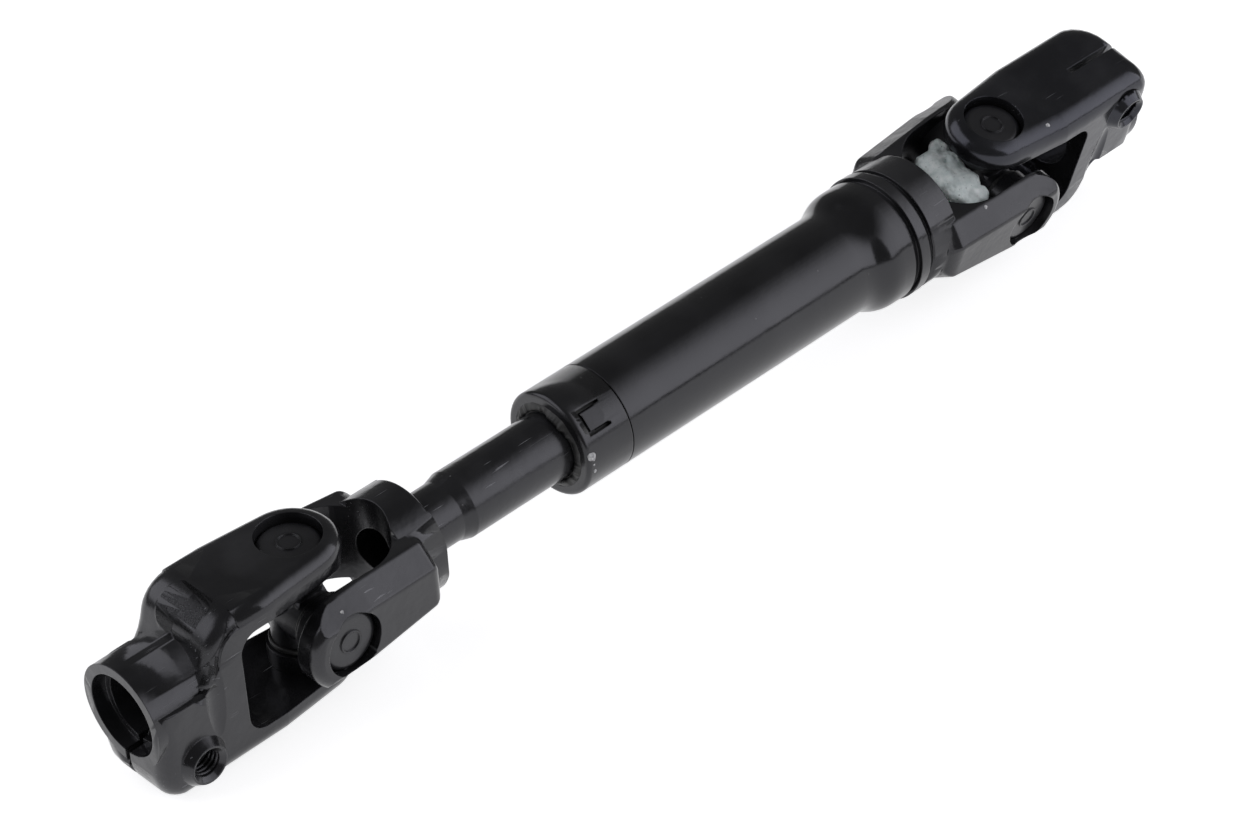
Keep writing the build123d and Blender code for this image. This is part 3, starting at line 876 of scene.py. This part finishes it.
for (node_name, name, seat, body), sizes in zip(FORKS, FORK_SIZES):
    face_run, base_length, base_radius, base_run, end, end_round = sizes
    forging = stock_of(node_name, name, seat)
    for y0, y1 in ((-EAR_REACH, -PAD_INNER), (PAD_INNER, EAR_REACH)):
        pad = block((PAD_START, y0, -PAD_HALF), (base_length - 2, y1, PAD_HALF))
        boolean(forging, pad, "UNION")
    base = round_bar(base_length - base_run, base_length + 2, base_radius + 0.01)
    arms = fork_form(face_run, end, end_round)
    boolean(forging, fork_cutter(ARM_BACK, base_length, arms, base), "DIFFERENCE")
    boolean(forging, fork_cutter(EAR_BACK, 0, ear_form()), "DIFFERENCE")
    finish_forging(forging, seat, forged_enamel, body, node_name)

# %% [markdown]
# ## Grease
# The grease is a pale soap that lets light in a little way, so its finish has some light
# under the skin, a mottled colour and a few grains of grit.

# %% Finish for grease
def pale_grease(name):
    """Grey-white soap grease: a little light goes in, and its skin is wet in patches."""
    material, tree, output = new_material(name)
    place = tree.nodes.new("ShaderNodeTexCoord").outputs["Object"]
    shader = tree.nodes.new("ShaderNodeBsdfPrincipled")
    shader.inputs["Subsurface Weight"].default_value = 0.25
    shader.inputs["Subsurface Radius"].default_value = (0.6, 0.7, 0.65)
    shader.inputs["Subsurface Scale"].default_value = 0.0012
    mottle = ramp(tree, noise_value(tree, place, 420, 4, 0.6), 0.35, 0.7)
    colour = mix_colour(tree, mottle, (0.66, 0.74, 0.73), (0.90, 0.95, 0.935))
    grit = ramp(tree, noise_value(tree, place, 1500, 2), 0.68, 0.74)
    colour = mix_colour(tree, grit, colour, (0.06, 0.07, 0.07))
    roughness = ramp(tree, noise_value(tree, place, 300, 3), 0.35, 0.65, 0.35, 0.6)
    normal = bump(tree, noise_value(tree, place, 900, 4, 0.6), 0.0003)
    join_shader(tree, shader, output, colour, roughness, normal)
    return material


grease_finish = pale_grease("pale_grease")
print("grease finish:", grease_finish.name)

# %% [markdown]
# The lump of grease was pressed into the gap beside the cross by a finger. It is flat on top,
# ragged at its rim, and has one small hole. Blobs that overlap give the rough form, a voxel
# remesh melts them into one skin, and noise then makes the skin uneven.

# %% Shape the grease
GREASE_VOXEL, GREASE_TOP, GREASE_SIDE = 0.33, 9.4, -6.66
GREASE_BLOBS = (
    (-7.6, 8.2, 7.0, 3.4, 3.2, 2.3), (-13.2, 5.6, 6.9, 5.6, 4.2, 2.5),
    (-9.4, 2.4, 7.3, 3.9, 4.2, 2.4), (-14.6, 0.4, 6.9, 4.4, 3.8, 2.5),
    (-10.6, -3.8, 7.0, 4.2, 4.4, 2.5), (-14.4, -5.0, 6.7, 4.4, 3.8, 2.4),
    (-11.4, -8.8, 6.6, 3.4, 3.6, 2.3), (-14.2, -9.8, 6.0, 3.0, 2.8, 2.1),
    (-9.6, 0.0, 2.4, 2.9, 5.2, 5.0),
)
HOLE_PLACE, HOLE_DEEP, HOLE_WIDE = Vector((-10.9, 3.2, 9.2)), 1.6, 0.75


def grease_form():
    """Overlapping round blobs, in the cross's frame."""
    form = bmesh.new()
    for x, y, z, wide, deep, tall in GREASE_BLOBS:
        ball = bmesh.ops.create_icosphere(form, subdivisions=3, radius=1.0)["verts"]
        bmesh.ops.scale(form, vec=(wide, deep, tall), verts=ball)
        bmesh.ops.translate(form, vec=(x, y, z), verts=ball)
    return form


lump = add_piece("grease_lump", grease_form(), grease_finish)
melt = lump.modifiers.new("melt", "REMESH")
melt.mode = "VOXEL"
melt.voxel_size = GREASE_VOXEL
settle = lump.modifiers.new("settle", "SMOOTH")
settle.iterations = 9
melted = applied(lump)
lump.modifiers.clear()
lump.data = melted
melted.materials.clear()
melted.materials.append(grease_finish)
for vertex in melted.vertices:
    place, out = vertex.co.copy(), vertex.normal.copy()
    wave = noise.noise(place * 0.4) * 0.5 + noise.noise(place * 1.1) * 0.16
    near = (place - HOLE_PLACE).length
    dent = HOLE_DEEP * math.exp(-(near / HOLE_WIDE) ** 2)
    vertex.co = place + out * (wave - 0.1) - Vector((0, 0, dent))
for vertex in melted.vertices:
    vertex.co.z = min(vertex.co.z, GREASE_TOP + 0.25 * noise.noise(vertex.co * 0.8))
    vertex.co.x = min(vertex.co.x, GREASE_SIDE)
melted.transform(UPPER_JOINT @ MILLIMETRES)
melted.shade_smooth()
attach(lump, "upper_cross_body")
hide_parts("grease")
print("grease faces:", len(melted.polygons))

# %% [markdown]
# ### The rolled cap
# The cap is thin sheet, rolled over the tube's mouth. Its tab was lanced on three sides and
# pushed in a little at its free end, so the slots round it are wide. A narrow step shows
# where the cap ends on the tube. The same boolean cuts make all three: blocks for the slots,
# a wedge for the tab's face, and a ring for the step.

# %% Cut the cap's tab and its seam
SHOP = Matrix.Translation(Vector((0, 0, AXIS_HEIGHT)) * MM)
CAP_FRONT, CAP_END, TUBE_RADIUS = -37.8, -22.5, 14.0
TAB_START, TAB_LONG, TAB_WIDE, TAB_SLOT, TAB_SINK = -34.9, 6.6, 7.0, 1.05, 0.8
TAB_TURN = Matrix.Rotation(radians(45), 4, "X")
SLOT_DEEP, SLOT_OVER = 1.5, 1
# the slot across stops short of the second side slot, which starts late and ends early
ACROSS_SHORT, SIDE_LATE, SIDE_EARLY = 1.6, 0.4, 1.2
SEAM_WIDE, SEAM_DEEP = 0.35, 0.3


def wedge(start, stop, half, floor, top):
    """A wedge along X: its floor rises from the first height to the second."""
    rings = []
    for x, z in ((start, floor[0]), (stop, floor[1])):
        rings.append([(x, -half, z), (x, half, z), (x, half, top), (x, -half, top)])
    return skin(rings)


def tab_cutters():
    """Blocks that open the tab's three slots, and a wedge that sinks its face."""
    half, end = TAB_WIDE / 2, TAB_START + TAB_LONG
    deep, top = TUBE_RADIUS - SLOT_DEEP, TUBE_RADIUS + SLOT_OVER
    forms = [
        block((TAB_START, -half, deep), (TAB_START + TAB_SLOT, half - ACROSS_SHORT, top)),
        block((TAB_START, -half, deep), (end, -half + TAB_SLOT, top)),
        block((TAB_START + SIDE_LATE, half - TAB_SLOT, deep), (end - SIDE_EARLY, half, top)),
        wedge(TAB_START, end, half, (TUBE_RADIUS - TAB_SINK, TUBE_RADIUS + 0.02), top),
    ]
    for form in forms:
        form.transform(TAB_TURN)
    return forms


cap = stock_of("end_cap", "rolled_cap", SHOP)
for form in tab_cutters():
    boolean(cap, form, "DIFFERENCE")
ring = add_piece("cutter", round_bar(CAP_END - SEAM_WIDE, CAP_END + 1, TUBE_RADIUS + 2))
boolean(ring, round_bar(CAP_END - 2, CAP_END + 2, TUBE_RADIUS - SEAM_DEEP), "DIFFERENCE")
boolean(cap, as_form(ring), "DIFFERENCE")
finish_forging(cap, SHOP, cap_enamel, "tube_body", "end_cap")

# %% [markdown]
# ## Threads
# The bolt holes have an M8 thread. A thread is a helix: a small triangle that turns round
# the hole's axis while it moves along it. One pitch of travel goes with each full turn. It
# starts below the countersink of the boss, and its root lies just inside the hole's wall.

# %% Threads in the bolt holes
PITCH = 1.25
THREAD_SECTION = ((3.45, 0.5), (3.05, 0.0), (3.45, -0.5))
THREAD_TURNS, TURN_STEPS = 8, 40
BOLT_STATION, BOLT_DROP, BOSS_FACE = 40.6, 12.2, 16.0
SINK_DEPTH = 1.3


def thread_form():
    """A helical ridge inside the hole of a clamp's threaded lug."""
    rings = []
    for step in range(THREAD_TURNS * TURN_STEPS + 1):
        turn = 2 * pi * step / TURN_STEPS
        travel = BOSS_FACE - SINK_DEPTH - PITCH * step / TURN_STEPS
        ring = []
        for radius, shift in THREAD_SECTION:
            x, z = BOLT_STATION + radius * cos(turn), -BOLT_DROP + radius * sin(turn)
            ring.append((x, travel + shift, z))
        rings.append(ring)
    return skin(rings)


for place, seat, material in CLAMPS:
    thread = add_piece(f"{place}_bolt_thread", thread_form(), material)
    thread.data.transform(seat @ MILLIMETRES)
    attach(thread, f"{place}_clamp_body")
    print(thread.name, "has", len(thread.data.polygons), "faces")

# %% [markdown]
# ## The ragged rubber lip
# A thin lip of rubber squeezed out between the cap and its seal, and it is torn along its
# edge. A ring of sections is swept round the shaft, and noise changes how far each section
# stands out: a slow wave for the long tears, and two quick ones for the ragged edge. The
# lip stays clear of the shaft, which slides in it.

# %% Sweep the torn lip
LIP_INNER, LIP_OUTER, LIP_STAND, LIP_STEPS = 9.15, 11.7, 1.5, 260
LIP_MEAN, LIP_TEARS = 0.42, ((0.9, 1.7), (0.45, 5.3), (0.3, 17))


def lip_form():
    """A closed ring with a torn edge, in millimetres about the shaft's axis."""
    form = bmesh.new()
    rows = []
    for step in range(LIP_STEPS):
        turn = 2 * pi * step / LIP_STEPS
        around = Vector((0, cos(turn), sin(turn)))
        torn = sum((share * noise.noise(around * pace) for share, pace in LIP_TEARS), LIP_MEAN)
        stand = LIP_STAND * min(1.0, max(0.15, torn))
        wide = LIP_OUTER + 0.5 * noise.noise(around * 5.0)
        section = (
            (0.5, LIP_INNER), (-0.35 * stand, LIP_INNER), (-stand, LIP_INNER + 0.45),
            (-0.8 * stand, LIP_INNER + 0.95), (-0.12, wide - 0.5), (0.5, wide),
        )
        rows.append([
            form.verts.new(Vector((CAP_FRONT + x, 0, 0)) + around * radius) for x, radius in section
        ])
    for here, there in zip(rows, rows[1:] + rows[:1]):
        for i in range(len(here)):
            j = (i + 1) % len(here)
            form.faces.new((here[i], here[j], there[j], there[i]))
    bmesh.ops.recalc_face_normals(form, faces=form.faces)
    return form


lip = add_piece("torn_lip", lip_form(), seal_rubber)
lip.data.transform(SHOP @ MILLIMETRES)
lip.data.shade_smooth()
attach(lip, "tube_body")
print("torn lip:", len(lip.data.polygons), "faces")

# %% [markdown]
# ## Flecks
# A few flecks of pale paint lie on the black. They are chalky, with dirt in their hollows.

# %% Finish for the flecks
def pale_paint(name):
    """Chalky, off-white paint with dirt in its hollows."""
    material, tree, output = new_material(name)
    place = tree.nodes.new("ShaderNodeTexCoord").outputs["Object"]
    shader = tree.nodes.new("ShaderNodeBsdfPrincipled")
    dirt = ramp(tree, noise_value(tree, place, 1400, 3), 0.35, 0.65)
    colour = mix_colour(tree, dirt, (0.30, 0.30, 0.31), (0.72, 0.72, 0.71))
    roughness = ramp(tree, noise_value(tree, place, 900, 2), 0.3, 0.7, 0.4, 0.65)
    normal = bump(tree, noise_value(tree, place, 2600, 2), 0.00005)
    join_shader(tree, shader, output, colour, roughness, normal)
    return material


fleck_paint = pale_paint("pale_fleck_paint")
print("fleck finish:", fleck_paint.name)

# %% [markdown]
# Each fleck is a small uneven drop. To lay it on the surface, a ray goes from the camera
# through the fleck's place in the frame, and where it meets the mesh it gives a point and a
# normal. The drop then sits there from any side.

# %% Lay the flecks
FRAME_WIDE, FRAME_HIGH = 1248, 832
FRAME_SCALE = LENS_MM / SENSOR_MM * FRAME_WIDE
FLECK_FLAT, FLECK_UNEVEN = 0.3, 0.55
FLECKS = (
    ("rolled_cap", "tube_body", 592, 457, 1.15), ("rolled_cap", "tube_body", 595, 471, 0.5),
    ("rolled_cap", "tube_body", 594, 465, 0.3),
    ("slip_shaft_forging", "shaft_body", 342, 612, 0.45),
    ("upper_clamp_forging", "upper_clamp_body", 1048, 125, 0.5),
    ("tube_yoke_forging", "tube_body", 986, 207, 0.5),
)
dice = random.Random(11)


def spot_on(piece, across, down):
    """The point and normal of a piece's surface behind a place in the frame."""
    mesh, view = piece.data, camera.matrix_world
    tree = BVHTree.FromPolygons([v.co for v in mesh.vertices], [f.vertices for f in mesh.polygons])
    right, up = (across - FRAME_WIDE / 2) / FRAME_SCALE, (FRAME_HIGH / 2 - down) / FRAME_SCALE
    place, normal, _, _ = tree.ray_cast(view.translation, view.to_3x3() @ Vector((right, up, -1)))
    return place, normal


def fleck(name, carrier, body, across, down, size):
    """A drop of paint on a carrier, at a place in the frame."""
    place, normal = spot_on(carrier, across, down)
    form = bmesh.new()
    bmesh.ops.create_icosphere(form, subdivisions=3, radius=size)
    shift = Vector((dice.uniform(-9, 9), dice.uniform(-9, 9), dice.uniform(-9, 9)))
    for vertex in form.verts:
        vertex.co *= 1 + FLECK_UNEVEN * noise.noise(vertex.co / size * 1.3 + shift)
        vertex.co.z *= FLECK_FLAT
    drop = add_piece(name, form, fleck_paint)
    lie_flat = normal.to_track_quat("Z", "Y").to_matrix().to_4x4()
    drop.data.transform(Matrix.Translation(place) @ lie_flat @ MILLIMETRES)
    drop.data.shade_smooth()
    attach(drop, body)


for number, (carrier, body, across, down, size) in enumerate(FLECKS):
    fleck(f"fleck_{number:02d}", bpy.data.objects[carrier], body, across, down, size)
